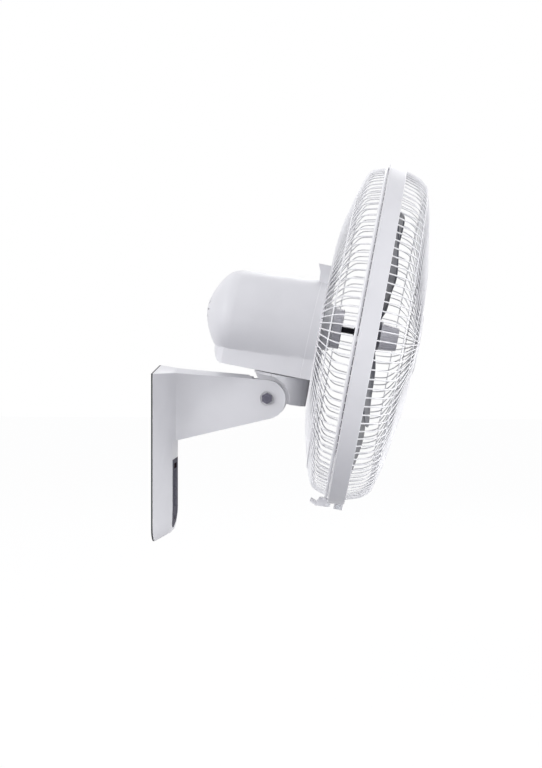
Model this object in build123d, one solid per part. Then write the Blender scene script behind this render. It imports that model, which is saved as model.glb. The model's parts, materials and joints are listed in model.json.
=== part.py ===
"""Wall mounted fan of the 400 mm class, in millimetres.

The wall is the plane X = 0 and the air is blown along +X. +Z is up, and the origin is the centre of the
four wall screws. The head, with everything from the neck outwards, is drawn square to its own axes and
then nosed down: in its own frame X runs forward along the fan shaft and Z runs up through the motor.
"""
import math
import os

from build123d import *

os.makedirs("parts", exist_ok=True)

# ---------------------------------------------------------------- driving dimensions
# bracket
PLATE_T = 2.0               # black back plate
BASE_FRONT_X = 20.5         # flat front of the base
BASE_WALL_HALF = 70.0       # half width at the wall
BASE_FRONT_HALF = 24.0      # half width of the flat front
BASE_BOTTOM_Z = -116.0
BASE_SIDE_TOP_Z = 101.6     # top corner at the wall
BASE_RIDGE_Z = 111.0        # crown of the top at the wall
BASE_CORNER_R = 20.0        # bottom corners at the wall
BASE_FRONT_TOP = (99.6, 107.5)  # side corner and ridge of the top, at the front
BASE_TONGUE_Z = -109.0      # round lower end of the flat front
RIDGE_HALF = 8.0            # half width of the rounded ridge along the top
BASE_WALL_T = 2.4           # thickness of the moulding
FRONT_BEND_Z = -78.0        # where the front starts to curve back
FRONT_BEND_R = 140.0
FRONT_END = (16.8, -110.0)  # lower end of the curved front
HOLLOW_FRONT = [(15.9, -78.0), (15.2, -90.0), (14.3, -97.0), (13.4, -101.5), (12.9, -104.0)]
PANEL_TOP_Z = -13.5
PANEL_T = 2.4
PANEL_HALF = 22.4
PANEL_END_Z = -105.8        # round lower end of the panel
WINDOW_HALF = 13.5          # opening in the moulding behind the panel
SCREW_SPACING_Y = 80.0
SCREW_SPACING_Z = 150.0
SCREW_HOLE_R = 2.6

# arm and pivot
ARM_HALF = 16.0
ARM_END_R = 25.8
ARM_END_AT = (143.7, 66.4)  # centre of the round end
ARM_TOP = (10.0, 102.0)     # a point on the top edge, at the root
ARM_BOTTOM = (10.0, 8.2)    # a point on the bottom edge, at the root
ARM_CROWN = (6.3, 4.3)      # rise of the crowned top at the root and at the slot
ARM_WALL_T = 2.8
ARM_HOLLOW_END_X = 117.0
PIVOT_X, PIVOT_Z = 145.0, 68.0
SLOT_HALF = 10.0            # half width of the slot between the two cheeks
TONGUE_HALF = 9.0
TONGUE_EYE_R = 19.0
SLOT_EYE_R = 22.5
BOLT_R = 4.0
NUT_FLATS = 13.0
NUT_T = 6.5
HEAD_T = 5.3
RECESS_R = 9.2
RECESS_T = 1.4

# head placement
TILT_DEG = 10.6             # nose down
CAGE_X, CAGE_Z = 276.3, 152.4
HEAD = Location((CAGE_X, 0, CAGE_Z), (0, TILT_DEG, 0))

# neck, in the head's frame
SWIVEL_U = -100.0
NECK_R = 37.5
NECK_TOP_V = -73.3
NECK_BOTTOM_V = -109.0
NECK_CUT_R = 30.5
SWIVEL_PIN_R = 7.0
SWIVEL_BORE_R = 4.5

# motor housing, in the head's frame
HOUSING_V = -4.0            # height of the round part's axis
HOUSING_FLOOR_V = -72.0
HOUSING_T = 2.5
SEAM_U = -72.3
SEAM_LEAN_DEG = 2.1
COVER_FACE_U = -60.0
NOSE_R = 15.0
NOSE_END_U = -37.5

# motor
SHAFT_R = 4.0
STATOR_R = 46.0
BORE_R = 24.5
ROTOR_R = 24.1
BEARING_R = 11.0
FRONT_BEARING_U = -92.0
REAR_BEARING_U = -149.0
BEARING_T = 7.0

# swing gear
CRANK_U = -168.0
CRANK_THROW = 10.28
ANCHOR_THROW = 16.0
LINK_V = (-58.9, -56.9)

# cage
WIRES = 120                 # radial wires in each half
WIRE_D = 1.6                # square here, with the area of a 1.8 mm round wire
BAND_REAR_R = 227.2         # plastic band, a little wider at the back
BAND_FRONT_R = 225.2
BAND_INNER_R = 223.9
BAND_LIP_R = 220.5          # inner edge of the two lips that hold the hoops
HOOP_R = (219.8, 223.6)     # rim hoops inside the band
REAR_PATH = [(-59.1, 60.0), (-59.1, 118.0), (-56.0, 139.0), (-43.8, 187.0), (-36.8, 205.5),
             (-31.5, 212.3), (-6.0, 219.9)]
FRONT_PATH = [(66.8, 30.0), (62.0, 95.0), (49.2, 172.5), (40.5, 203.5), (30.0, 211.8), (6.0, 219.9)]
CENTRE_PLATE_R = 42.0
DISH_R = 31.2               # the dished middle of the rear guard
DISH_FACE_U = -46.4         # its front face, where the nut clamps it
NUT_RIBS = 12
TAB_V = -234.7              # foot of the two screw tabs under the band
RING_SCREW = (4.4, -231.0)  # along and height of the screw that closes the band
CLIP_PIVOT = (-9.2, -230.6)

# blade
BLADES = 5
BLADE_R = 197.0
HUB_R = 21.0
BLADE_T = 2.0
BLADE_PHASE = 27.5          # turn of the wheel at rest
PITCH = [(12.0, 46.0), (36.0, 35.5), (52.0, 26.6), (83.0, 15.9), (129.0, 10.5), (162.0, 9.2),
         (202.0, 8.6)]      # height above the shaft, degrees
CAMBER = 5.0
BLADE_SHIFT = 6.7           # how far the sheets lie in front of the middle of the hub
LEADING = [(11.3, 14.0), (16.9, 36.3), (29.1, 52.5), (54.5, 83.9), (88.0, 127.6), (102.3, 151.7),
           (100.5, 166.3)]
TRAILING = [(-66.0, 181.4), (-81.7, 160.4), (-90.3, 130.9), (-74.6, 106.5), (-55.9, 82.9),
            (-30.9, 51.4), (-18.2, 35.6), (-13.8, 14.0)]
TIP_ANGLES = (27.5, 6.0, -15.0)

# controls
BUTTON_Z = [-34.5, -47.0, -59.5, -72.0]
BUTTON_R = 5.0
RECEIVER_Z = -92.0


# ---------------------------------------------------------------- helpers
def box(x0, x1, y0, y1, z0, z1):
    """A block between two corners."""
    size = Box(abs(x1 - x0), abs(y1 - y0), abs(z1 - z0))
    return Pos((x0 + x1) / 2, (y0 + y1) / 2, (z0 + z1) / 2) * size


def rod(start, end, radius):
    """A cylinder from one point to another."""
    a, b = Vector(*start), Vector(*end)
    return Solid.make_cylinder(radius, (b - a).length, Plane(origin=a, z_dir=b - a))


def tube(start, end, outer, inner):
    """A pipe from one point to another."""
    return rod(start, end, outer) - rod(start, end, inner)


def slab(points, y0, y1):
    """An outline in the XZ plane, given a thickness from y0 to y1."""
    face = make_face(Plane.XZ * Polyline(*points, close=True))
    return Pos(0, y0, 0) * extrude(face, y1 - y0, dir=(0, 1, 0))


def turned(points, axis_v=0.0):
    """An outline of (along, radius) points turned round an axis parallel to X."""
    face = make_face(Plane.XZ * Polyline(*points, close=True))
    return Pos(0, 0, axis_v) * revolve(face, Axis.X)


def hexagon(start, end, flats):
    """A hexagonal bar from one point to another."""
    a, b = Vector(*start), Vector(*end)
    face = Plane(origin=a, z_dir=b - a) * RegularPolygon(flats / 2, 6, major_radius=False)
    return extrude(face, (b - a).length, dir=(b - a).normalized())


def tangent_point(point, centre, radius, side):
    """Where the line from a point touches a circle; side is +1 or -1."""
    dx, dz = point[0] - centre[0], point[1] - centre[1]
    angle = math.atan2(dz, dx) + side * math.acos(radius / math.hypot(dx, dz))
    return centre[0] + radius * math.cos(angle), centre[1] + radius * math.sin(angle)


def around_x(piece, count, start=0.0):
    """Copies of a piece set evenly round the X axis."""
    return [piece.rotate(Axis.X, start + 360 / count * i) for i in range(count)]


def one(piece):
    """The single solid that a boolean operation leaves."""
    solids = piece.solids()
    if len(solids) != 1:
        raise ValueError(f"{len(solids)} solids: {[round(s.volume, 1) for s in solids]}")
    return solids[0]


# ---------------------------------------------------------------- bracket
def crown(half, side_top, ridge):
    """The top of a section: two sloping sides and a rounded ridge."""
    foot = ridge - (ridge - side_top) * RIDGE_HALF / half * 0.6
    return [
        Line((half, side_top), (RIDGE_HALF, foot)),
        ThreePointArc((RIDGE_HALF, foot), (0, ridge), (-RIDGE_HALF, foot)),
        Line((-RIDGE_HALF, foot), (-half, side_top)),
    ]


def base_section(x, half, side_top, ridge, bottom, corner):
    """Outline of the base at one distance from the wall: straight sides, crowned top, round corners."""
    k = corner * (1 - math.sqrt(0.5))
    low = bottom + corner
    flat = max(half - corner, 0.2)
    edges = [Line((half, low), (half, side_top))] + crown(half, side_top, ridge) + [
        Line((-half, side_top), (-half, low)),
        ThreePointArc((-half, low), (k - half, bottom + k), (-flat, bottom)),
        Line((-flat, bottom), (flat, bottom)),
        ThreePointArc((flat, bottom), (half - k, bottom + k), (half, low)),
    ]
    plane = Plane(origin=(x, 0, 0), x_dir=(0, 1, 0), z_dir=(1, 0, 0))
    return plane * make_face(edges)


def wall_section(x=PLATE_T):
    return base_section(x, BASE_WALL_HALF, BASE_SIDE_TOP_Z, BASE_RIDGE_Z, BASE_BOTTOM_Z, BASE_CORNER_R)


SIDE_SLOPE = (BASE_WALL_HALF - BASE_FRONT_HALF) / (BASE_FRONT_X - PLATE_T)
SIDE_INSET = BASE_WALL_T * math.sqrt(1 + SIDE_SLOPE ** 2)
SHOULDER_X = BASE_FRONT_X + (BASE_FRONT_HALF - ARM_HALF) / SIDE_SLOPE


def base_half(x):
    """Half width of the base at one distance from the wall."""
    return BASE_FRONT_HALF + SIDE_SLOPE * (BASE_FRONT_X - x)


def front_curve(depth):
    """The curved lower front of the base, a given depth under its surface."""
    centre_x = BASE_FRONT_X - FRONT_BEND_R
    radius = FRONT_BEND_R - depth
    drop = math.asin((FRONT_BEND_Z - FRONT_END[1]) / FRONT_BEND_R)

    def at(angle):
        return centre_x + radius * math.cos(angle), FRONT_BEND_Z - radius * math.sin(angle)
    return [at(0), at(drop / 2), at(drop)]


def front_x(z):
    """How far the front of the base stands from the wall at one height."""
    drop = min(z - FRONT_BEND_Z, 0)
    return BASE_FRONT_X - FRONT_BEND_R + math.sqrt(FRONT_BEND_R ** 2 - drop ** 2)


def base_block():
    """The outer form of the base, without its hollow."""
    lofted = loft([
        wall_section(),
        base_section(BASE_FRONT_X, BASE_FRONT_HALF, *BASE_FRONT_TOP, BASE_TONGUE_Z, BASE_FRONT_HALF - 0.2),
    ], ruled=True)
    top, middle, low = front_curve(0)
    edges = [
        Line((PLATE_T, 130), (BASE_FRONT_X, 130)),
        Line((BASE_FRONT_X, 130), top),
        ThreePointArc(top, middle, low),
        Line(low, (PLATE_T, BASE_BOTTOM_Z - 0.1)),
        Line((PLATE_T, BASE_BOTTOM_Z - 0.1), (PLATE_T, 130)),
    ]
    side = extrude(make_face(Plane.XZ * Wire(edges)), 80, both=True)
    return one(lofted & side)


def base_hollow():
    """The space inside the base, open at the wall."""
    wall_x, inner_x = 1.0, HOLLOW_FRONT[0][0]
    lofted = loft([
        base_section(wall_x, base_half(wall_x) - SIDE_INSET, 98.8, 108.0, BASE_BOTTOM_Z + 2.0, 18.0),
        base_section(inner_x, base_half(inner_x) - SIDE_INSET, 97.2, 105.0, -102.0, 21.0),
    ], ruled=True)
    side = slab([(1, 120), (inner_x, 120)] + HOLLOW_FRONT + [(1, BASE_BOTTOM_Z + 2.1)], -80, 80)
    return lofted & side


def shoulder():
    """Where the base's sloping sides run on to the sides of the arm."""
    top = arm_top_z(SHOULDER_X)
    lofted = loft([
        wall_section(),
        base_section(SHOULDER_X, ARM_HALF, top, top + ARM_CROWN[0], BASE_BOTTOM_Z, ARM_HALF - 0.5),
    ], ruled=True)
    low = arm_bottom_z(SHOULDER_X)
    run = SHOULDER_X - PLATE_T
    outline = [(PLATE_T, 130), (SHOULDER_X, 130), (SHOULDER_X, low), (PLATE_T, low - 0.8 * run)]
    return lofted & slab(outline, -80, 80)


def arm_tangents():
    """Where the arm's straight edges meet its round end."""
    return (tangent_point(ARM_TOP, ARM_END_AT, ARM_END_R, -1),
            tangent_point(ARM_BOTTOM, ARM_END_AT, ARM_END_R, 1))


def arm_top_z(x):
    """Height of the arm's top edge."""
    top, _ = arm_tangents()
    return ARM_TOP[1] + (top[1] - ARM_TOP[1]) * (x - ARM_TOP[0]) / (top[0] - ARM_TOP[0])


def arm_bottom_z(x):
    """Height of the arm's bottom edge."""
    _, low = arm_tangents()
    return ARM_BOTTOM[1] + (low[1] - ARM_BOTTOM[1]) * (x - ARM_BOTTOM[0]) / (low[0] - ARM_BOTTOM[0])


def arm_block():
    """The outer form of the arm: tapering sides, a round end and a crowned top."""
    top, low = arm_tangents()
    edges = [
        Line(ARM_TOP, top),
        ThreePointArc(top, (ARM_END_AT[0] + ARM_END_R, ARM_END_AT[1]), low),
        Line(low, ARM_BOTTOM),
        Line(ARM_BOTTOM, ARM_TOP),
    ]
    body = extrude(make_face(Plane.XZ * Wire(edges)), ARM_HALF, both=True)
    crown_end_x = PIVOT_X - 20.0
    tops = []
    for x, rise in ((14.0, ARM_CROWN[0]), (crown_end_x, ARM_CROWN[1])):
        z = arm_top_z(x)
        plane = Plane(origin=(x, 0, z), x_dir=(0, 1, 0), z_dir=(1, 0, 0))
        tops.append(plane * make_face(crown(ARM_HALF, 0.0, rise) + [
            Line((-ARM_HALF, 0), (-ARM_HALF, -3)),
            Line((-ARM_HALF, -3), (ARM_HALF, -3)),
            Line((ARM_HALF, -3), (ARM_HALF, 0)),
        ]))
    return body + loft(tops, ruled=True)


def arm_hollow():
    """The wiring space inside the arm."""
    half = ARM_HALF - ARM_WALL_T
    t = ARM_WALL_T
    outline = [(4.0, arm_top_z(4.0) - t), (ARM_HOLLOW_END_X, arm_top_z(ARM_HOLLOW_END_X) - t),
               (ARM_HOLLOW_END_X, arm_bottom_z(ARM_HOLLOW_END_X) + t), (4.0, arm_bottom_z(4.0) + t)]
    return slab(outline, -half, half)


def clevis_slot():
    """The gap between the cheeks that the neck's tongue swings in."""
    reach = 60.0
    rays = [-60.0, 0.0, 60.0, 130.0]
    wedge = [(PIVOT_X, PIVOT_Z)]
    for deg in rays:
        a = math.radians(deg)
        wedge.append((PIVOT_X + reach * math.cos(a), PIVOT_Z + reach * math.sin(a)))
    eye = rod((PIVOT_X, -SLOT_HALF, PIVOT_Z), (PIVOT_X, SLOT_HALF, PIVOT_Z), SLOT_EYE_R)
    return slab(wedge, -SLOT_HALF, SLOT_HALF) + eye


SCREW_BOSS_X, SCREW_BOSS_Y = 6.5, 33.0
BOARD_X = (5.4, 7.0)
PILLAR_Y = 16.5
PILLAR_Z = (-84.0, -24.0)
GROMMET_X = 7.9
GROMMET_R = 4.9
BOSS_TOP_Z = -104.0         # top of the two screw bosses in the foot
SEAT_Z = -108.4             # level seat for the inlet, above the sloping foot
SEAT_T = 2.6
INLET_R = 3.2


def panel_outline(inset):
    """The strip that the panel fills, seen from the front: straight sides and a round lower end."""
    half = PANEL_HALF - inset
    centre_z = PANEL_END_Z + PANEL_HALF
    strip = box(0, 40, -half, half, centre_z, PANEL_TOP_Z + 10)
    return strip + rod((0, 0, centre_z), (40, 0, centre_z), half)


def make_bracket_body():
    """One white moulding: the base, the arm and the two cheeks of the clevis."""
    body = base_block() + shoulder() + arm_block()
    body -= base_hollow()
    body -= arm_hollow()
    body -= clevis_slot()
    hook_bar = box(2.4, 4.9, -BASE_WALL_HALF, BASE_WALL_HALF, 90.3, 94.5) & base_block()
    body += hook_bar
    # pocket and window for the control panel
    outer, inner = front_curve(-5), front_curve(PANEL_T)
    pocket = make_face(Plane.XZ * Wire([
        Line((outer[0][0], PANEL_TOP_Z), outer[0]), ThreePointArc(*outer),
        Line(outer[2], inner[2]), ThreePointArc(*inner[::-1]),
        Line(inner[0], (inner[0][0], PANEL_TOP_Z)),
        Line((inner[0][0], PANEL_TOP_Z), (outer[0][0], PANEL_TOP_Z)),
    ]))
    body -= extrude(pocket, PANEL_HALF, both=True) & panel_outline(0.0)
    body -= box(12, 20, -WINDOW_HALF, WINDOW_HALF, -96, PANEL_TOP_Z - 4)
    for y in (-PILLAR_Y, PILLAR_Y):
        for z in PILLAR_Z:
            body += rod((BOARD_X[1], y, z), (front_x(z) - PANEL_T - 0.6, y, z), 2.5)
    # bosses for the two screws that lock the moulding to the back plate
    for y in (-SCREW_BOSS_Y, SCREW_BOSS_Y):
        body += rod((SCREW_BOSS_X, y, BOSS_TOP_Z - 8.0), (SCREW_BOSS_X, y, BOSS_TOP_Z), 5.2) & base_block()
        body -= rod((SCREW_BOSS_X, y, -125), (SCREW_BOSS_X, y, BOSS_TOP_Z + 5.0), 2.1)
        body -= rod((SCREW_BOSS_X, y, -125), (SCREW_BOSS_X, y, BOSS_TOP_Z - 3.1), 4.0)
    body += box(PLATE_T, 14.6, -10, 10, -118, SEAT_Z + SEAT_T) & base_block()
    body -= box(1, 13.6, -8, 8, -125, SEAT_Z)
    body -= rod((GROMMET_X, 0, -125), (GROMMET_X, 0, -99), GROMMET_R)
    body -= rod((GROMMET_X, 0, SEAT_Z + SEAT_T), (GROMMET_X, 0, -99), GROMMET_R + 0.7)
    # pivot bore and the shallow round recesses for nut and bolt head
    body -= rod((PIVOT_X, -40, PIVOT_Z), (PIVOT_X, 40, PIVOT_Z), BOLT_R + 0.15)
    for side in (-1, 1):
        floor_y = side * (ARM_HALF - RECESS_T)
        body -= rod((PIVOT_X, floor_y, PIVOT_Z), (PIVOT_X, side * 40, PIVOT_Z), RECESS_R)
    return one(body)


def make_wall_plate():
    """Black back plate with four wall screw holes, a hook at the top and two locking tabs."""
    plate = extrude(wall_section(0.0), PLATE_T, dir=(1, 0, 0))
    plate += box(1.5, 7.0, -22, 22, 88, 90)
    plate += box(5.2, 7.0, -22, 22, 88, 95.5)
    for y in (-SCREW_BOSS_Y, SCREW_BOSS_Y):
        plate += box(1.5, 9.2, y - 3.8, y + 3.8, BOSS_TOP_Z + 0.2, BOSS_TOP_Z + 2.7)
        plate -= rod((SCREW_BOSS_X, y, BOSS_TOP_Z - 1.0), (SCREW_BOSS_X, y, BOSS_TOP_Z + 5.0), 1.8)
    for y in (-SCREW_SPACING_Y / 2, SCREW_SPACING_Y / 2):
        for z in (-SCREW_SPACING_Z / 2, SCREW_SPACING_Z / 2):
            plate -= rod((-1, y, z), (PLATE_T + 1, y, z), SCREW_HOLE_R)
    return one(plate)


def make_control_panel():
    """Dark glossy strip let into the front of the base, curved back at its foot."""
    outer, inner = front_curve(-0.3), front_curve(PANEL_T)
    end_z = PANEL_TOP_Z - 0.2
    face = make_face(Plane.XZ * Wire([
        Line((outer[0][0], end_z), outer[0]), ThreePointArc(*outer),
        Line(outer[2], inner[2]), ThreePointArc(*inner[::-1]),
        Line(inner[0], (inner[0][0], end_z)), Line((inner[0][0], end_z), (outer[0][0], end_z)),
    ]))
    panel = extrude(face, PANEL_HALF, both=True) & panel_outline(0.2)
    for z in BUTTON_Z:
        panel -= rod((10, 0, z), (30, 0, z), BUTTON_R + 0.35)
    panel -= box(10, 30, -10.2, 10.2, -26.7, -19.3)
    panel -= rod((10, 0, RECEIVER_Z), (30, 0, RECEIVER_Z), 3.1)
    return one(panel)


def make_button(z):
    """Push button: round cap, retaining collar behind the panel and a stem over its switch."""
    cap = rod((17.0, 0, z), (BASE_FRONT_X + 1.3, 0, z), BUTTON_R)
    collar = rod((16.2, 0, z), (17.5, 0, z), BUTTON_R + 1.0)
    stem = rod((12.6, 0, z), (17.0, 0, z), 1.6)
    return one(cap + collar + stem)


def make_tact_switches():
    """Four switches in a row on the board, one behind each button."""
    switches = []
    for z in BUTTON_Z:
        body = box(BOARD_X[1], 10.2, -3, 3, z - 3, z + 3)
        switches.append(one(body + rod((10.2, 0, z), (10.9, 0, z), 1.7)))
    return Compound(switches)


def make_control_board():
    """Circuit board with its relay, terminal block and driver."""
    board = box(*BOARD_X, -19, 19, -96, -20)
    board += box(BOARD_X[1] - 0.1, 14.0, 8, 17, -62, -46)
    board += box(BOARD_X[1] - 0.1, 13.0, -18, -8, -60, -40)
    board += box(BOARD_X[1] - 0.1, 9.0, 6, 14, -84, -74)
    return one(board)


def make_indicator_window():
    """Clear bar over the row of lights."""
    return one(box(15.0, BASE_FRONT_X + 0.3, -10, 10, -26.5, -19.5) + box(15.0, 17.6, -12, 12, -28, -18))


def make_remote_receiver():
    """Round lens for the remote control."""
    lens = rod((12.0, 0, RECEIVER_Z), (front_x(RECEIVER_Z) + 0.2, 0, RECEIVER_Z), 2.9)
    return one(lens + rod((BOARD_X[1], 0, RECEIVER_Z), (12.5, 0, RECEIVER_Z), 2.2))


def make_cable_grommet():
    """Rubber inlet in the bottom of the base."""
    body = rod((GROMMET_X, 0, SEAT_Z - 2.0), (GROMMET_X, 0, SEAT_Z + SEAT_T + 2.0), GROMMET_R - 0.05)
    body += rod((GROMMET_X, 0, SEAT_Z - 2.0), (GROMMET_X, 0, SEAT_Z), GROMMET_R + 0.5)
    body += rod((GROMMET_X, 0, SEAT_Z + SEAT_T), (GROMMET_X, 0, SEAT_Z + SEAT_T + 2.0), GROMMET_R + 0.5)
    return one(body - rod((GROMMET_X, 0, -125), (GROMMET_X, 0, -95), INLET_R))


def make_bracket_screws():
    """Two screws that lock the moulding to the back plate from below."""
    screws = []
    for y in (-SCREW_BOSS_Y, SCREW_BOSS_Y):
        seat = BOSS_TOP_Z - 3.1
        shank = rod((SCREW_BOSS_X, y, seat - 0.2), (SCREW_BOSS_X, y, BOSS_TOP_Z + 5.2), 1.75)
        head = rod((SCREW_BOSS_X, y, seat - 2.5), (SCREW_BOSS_X, y, seat), 3.7)
        for half_x, half_y in ((2.4, 0.5), (0.5, 2.4)):
            head -= box(SCREW_BOSS_X - half_x, SCREW_BOSS_X + half_x, y - half_y, y + half_y,
                        seat - 2.7, seat - 1.6)
        screws.append(one(shank + head))
    return Compound(screws)


def make_pivot_bolt():
    """Hexagon bolt through both cheeks; its head is on the far side and its end shows in the nut."""
    seat = ARM_HALF - RECESS_T
    shank = rod((PIVOT_X, -(seat + NUT_T + 0.8), PIVOT_Z), (PIVOT_X, seat + 0.2, PIVOT_Z), BOLT_R)
    head = hexagon((PIVOT_X, seat, PIVOT_Z), (PIVOT_X, seat + HEAD_T, PIVOT_Z), NUT_FLATS)
    return one(shank + head)


def make_pivot_nut():
    """Hexagon nut on the near cheek."""
    seat = ARM_HALF - RECESS_T
    nut = hexagon((PIVOT_X, -seat, PIVOT_Z), (PIVOT_X, -seat - NUT_T, PIVOT_Z), NUT_FLATS)
    return one(nut - rod((PIVOT_X, -seat + 1, PIVOT_Z), (PIVOT_X, -seat - 10, PIVOT_Z), BOLT_R + 0.05))


def make_tilt_washers():
    """Friction washers between the cheeks and the tongue."""
    washers = []
    for side in (-1, 1):
        start = (PIVOT_X, side * (TONGUE_HALF + 0.3), PIVOT_Z)
        end = (PIVOT_X, side * SLOT_HALF, PIVOT_Z)
        washers.append(one(tube(start, end, 12.0, BOLT_R + 0.15)))
    return Compound(washers)


# ---------------------------------------------------------------- neck, in the head's frame
def pivot_uv():
    """The tilt pivot in the head's frame."""
    dx, dz = PIVOT_X - CAGE_X, PIVOT_Z - CAGE_Z
    c, s = math.cos(math.radians(TILT_DEG)), math.sin(math.radians(TILT_DEG))
    return dx * c - dz * s, dx * s + dz * c


def upright(u, w, low, high, radius):
    """A cylinder that stands along the head's Z axis."""
    return rod((u, w, low), (u, w, high), radius)


def make_neck_block():
    """Round drum wrapped over the end of the arm, with the tongue that fills the clevis."""
    pu, pv = pivot_uv()
    drum = upright(SWIVEL_U, 0, NECK_BOTTOM_V, NECK_TOP_V, NECK_R)
    drum -= rod((pu, -60, pv), (pu, 60, pv), NECK_CUT_R)
    drum -= box(pu - 60, pu, -60, 60, pv - 60, pv + NECK_CUT_R)
    web = slab([(pu, pv - 3), (pu + 45, pv - 3), (pu + 45, NECK_TOP_V - 0.5), (pu - 23.5, NECK_TOP_V - 0.5),
                (pu - 3, pv)], -TONGUE_HALF, TONGUE_HALF)
    web &= upright(SWIVEL_U, 0, NECK_BOTTOM_V - 10, NECK_TOP_V, NECK_R - 0.4)
    eye = rod((pu, -TONGUE_HALF, pv), (pu, TONGUE_HALF, pv), TONGUE_EYE_R)
    neck = drum + web + eye
    neck -= rod((pu, -60, pv), (pu, 60, pv), BOLT_R + 0.05)
    neck -= upright(SWIVEL_U, 0, -97.0, NECK_TOP_V + 1, SWIVEL_PIN_R + 0.02)
    return one(neck)


def make_swivel_pin():
    """Hollow upright pin, fixed in the neck, that the head turns on."""
    pin = upright(SWIVEL_U, 0, -97.0, -59.0, SWIVEL_PIN_R)
    return one(pin - upright(SWIVEL_U, 0, -98.0, -58.0, SWIVEL_BORE_R))


def make_swivel_washer():
    """Slippery washer between the neck and the floor of the motor housing."""
    ring = upright(SWIVEL_U, 0, NECK_TOP_V, HOUSING_FLOOR_V - 0.4, 16.0)
    return one(ring - upright(SWIVEL_U, 0, NECK_TOP_V - 1, -60, SWIVEL_PIN_R + 0.05))


def make_swivel_nut():
    """Nut on the top of the pin that keeps the head from lifting off."""
    ring = upright(SWIVEL_U, 0, -65.6, -61.8, 11.0)
    return one(ring - upright(SWIVEL_U, 0, -67, -60, SWIVEL_PIN_R + 0.02))


def make_link_anchor():
    """Arm on the fixed pin that the swing link pulls against."""
    low, high = -61.8, -59.4
    arm = upright(SWIVEL_U, 0, low, high, 11.0) + upright(SWIVEL_U, ANCHOR_THROW, low, high, 5.0)
    arm += box(SWIVEL_U - 4.5, SWIVEL_U + 4.5, 0, ANCHOR_THROW, low, high)
    arm -= upright(SWIVEL_U, 0, low - 1, high + 1, SWIVEL_PIN_R + 0.02)
    arm += upright(SWIVEL_U, ANCHOR_THROW, high - 0.5, LINK_V[1] + 0.8, 2.0)
    return one(arm)


def make_swing_link():
    """Steel link between the anchor and the crank, with an eased eye at the crank."""
    low, high = LINK_V
    start, end = Vector(SWIVEL_U, ANCHOR_THROW, 0), Vector(CRANK_U, CRANK_THROW, 0)
    run = end - start
    bar = Location(((start.X + end.X) / 2, (start.Y + end.Y) / 2, (low + high) / 2),
                   (0, 0, math.degrees(math.atan2(run.Y, run.X)))) * Box(run.length, 7.0, high - low)
    link = bar + upright(start.X, start.Y, low, high, 4.6) + upright(end.X, end.Y, low, high, 7.2)
    link -= upright(start.X, start.Y, low - 1, high + 1, 2.06)
    link -= upright(end.X, end.Y, low - 1, high + 1, 4.5)
    return one(link)


def make_swing_crank():
    """Disc on the swing motor's shaft with its throw pin."""
    disc = upright(CRANK_U, 0, -55.9, -53.4, 14.0)
    disc += upright(CRANK_U, CRANK_THROW, -59.3, -55.5, 2.0)
    disc -= upright(CRANK_U, 0, -57, -50, 2.05)
    return one(disc)


# ---------------------------------------------------------------- motor housing, in the head's frame
DOME = [(-214.4, 0.0), (-213.6, 9.5), (-210.2, 21.5), (-205.0, 33.0), (-199.8, 41.8), (-195.3, 47.5),
        (-190.6, 51.8), (-184.3, 55.4), (-177.7, 57.2), (-169.5, 58.0)]
VENTS = 12


def dome_profile(inset):
    """Outline of the round part of the housing, shrunk by a wall thickness."""
    edges = [
        Spline([(u + inset, max(r - inset, 0.0)) if r > 0 else (u + inset, 0.0) for u, r in DOME],
               tangents=[(0, 1), (1, 0.03)]),
        Line((DOME[-1][0] + inset, DOME[-1][1] - inset), (-60.0, 63.4 - inset)),
        Line((-60.0, 63.4 - inset), (-60.0, 0.0)),
        Line((-60.0, 0.0), (DOME[0][0] + inset, 0.0)),
    ]
    return make_face(Plane.XZ * Wire(edges))


def skirt(inset):
    """The narrower box under the round part, tapering to the back."""
    i = inset
    floor = HOUSING_FLOOR_V + i
    back = [(-188 + i, -20), (-195.7 + i, -51.4), (-194.1 + i, -58.1), (-190.9 + i, -65.0),
            (-187.0 + i, floor + 1.8), (-183.0 + i, floor)]
    side = slab(back + [(-60, floor), (-60, -20)], -70, 70)
    corners = [(-60, 46.8 - i), (-181 + i, 31 - i), (-190.5 + i, 21 - i), (-196 + i, 6 - i)]
    plan = make_face(Polyline(*corners, *[(u, -w) for u, w in corners[::-1]], close=True))
    return side & (Pos(0, 0, -80) * extrude(plan, 80))


def housing_block(inset):
    """Round part and skirt together."""
    round_part = Pos(0, 0, HOUSING_V) * revolve(dome_profile(inset), Axis.X)
    return round_part + skirt(inset)


def seam_block(front):
    """Everything in front of the seam, or behind it."""
    block = Box(200, 200, 240)
    shift = 100.0 if front else -100.0
    lean = Location((SEAM_U, 0, 0), (0, SEAM_LEAN_DEG, 0))
    return lean * (Pos(shift, 0, 0) * block)


def make_motor_housing():
    """Rear cover: a drum with a vented dome behind and a flat floor below."""
    shell = housing_block(0) - housing_block(HOUSING_T)
    shell &= seam_block(front=False)
    shell -= upright(SWIVEL_U, 0, -80, -60, 9.0)
    slot = box(-220, -190, -1.2, 1.2, 8, 23)
    for cut in around_x(slot, VENTS):
        shell -= Pos(0, 0, HOUSING_V - 1.5) * cut
    for w in (-16, 16):
        shell -= upright(-145, w, -80, -60, 2.1)
        shell -= upright(-145, w, -80, HOUSING_FLOOR_V + 1.2, 4.0)
    return one(shell)


PILLAR_W = 40.0


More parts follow.
